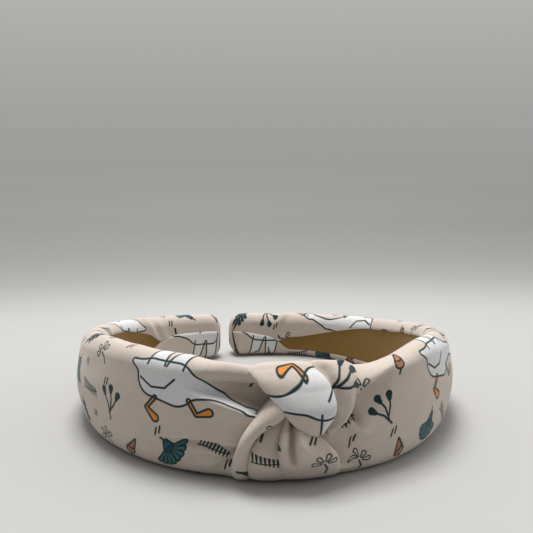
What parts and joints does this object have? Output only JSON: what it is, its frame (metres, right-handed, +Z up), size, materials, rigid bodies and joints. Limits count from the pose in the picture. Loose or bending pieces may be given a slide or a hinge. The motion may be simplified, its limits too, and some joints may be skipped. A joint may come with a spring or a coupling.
{
  "type": "knotted headband",
  "caption": "Padded hard headband: an open springy hoop with a tapering foam pad, suede lining and a printed knit cover tied in a flat knot at the front.",
  "frame": {"origin": "bottom centre of the object's box, on the surface that it stands on by its lower edge", "axes": "+Z up through the head opening, -Y out through the front of the knot, +X to the right as seen from the front"},
  "size_m": [0.143, 0.15, 0.0395],
  "materials": {
    "printed_knit": "pale pink brushed knit with a meadow and goose print",
    "lining_suede": "tan brown suede",
    "foam_padding": "off-white sponge foam",
    "hoop_plastic": "dark moulded plastic, springy"
  },
  "bodies": {
    "crown": {"hoop_crown": "hoop_plastic", "foam_crown": "foam_padding", "lining_crown": "lining_suede", "knot_inner_wrap": "printed_knit", "knot_front_strap": "printed_knit", "knot_side_fold": "printed_knit", "knot_lower_roll": "printed_knit", "knot_lower_fan": "printed_knit"},
    "left_arm": {"hoop_left_arm": "hoop_plastic", "foam_left_arm": "foam_padding", "lining_left_arm": "lining_suede", "cover_left_arm": "printed_knit"},
    "right_arm": {"hoop_right_arm": "hoop_plastic", "foam_right_arm": "foam_padding", "lining_right_arm": "lining_suede", "cover_right_arm": "printed_knit"}
  },
  "joints": [
    {"name": "left_arm_flex", "type": "hinge", "parent": "crown", "child": "left_arm", "pos_m": [-0.02463, -0.06416, 0.016], "axis": [0, 0, 1], "range_deg": [0, 22], "stiffness_Nm_per_rad": 0.75},
    {"name": "right_arm_flex", "type": "hinge", "parent": "crown", "child": "right_arm", "pos_m": [0.02463, -0.06416, 0.016], "axis": [0, 0, -1], "range_deg": [0, 22], "stiffness_Nm_per_rad": 0.75}
  ]
}
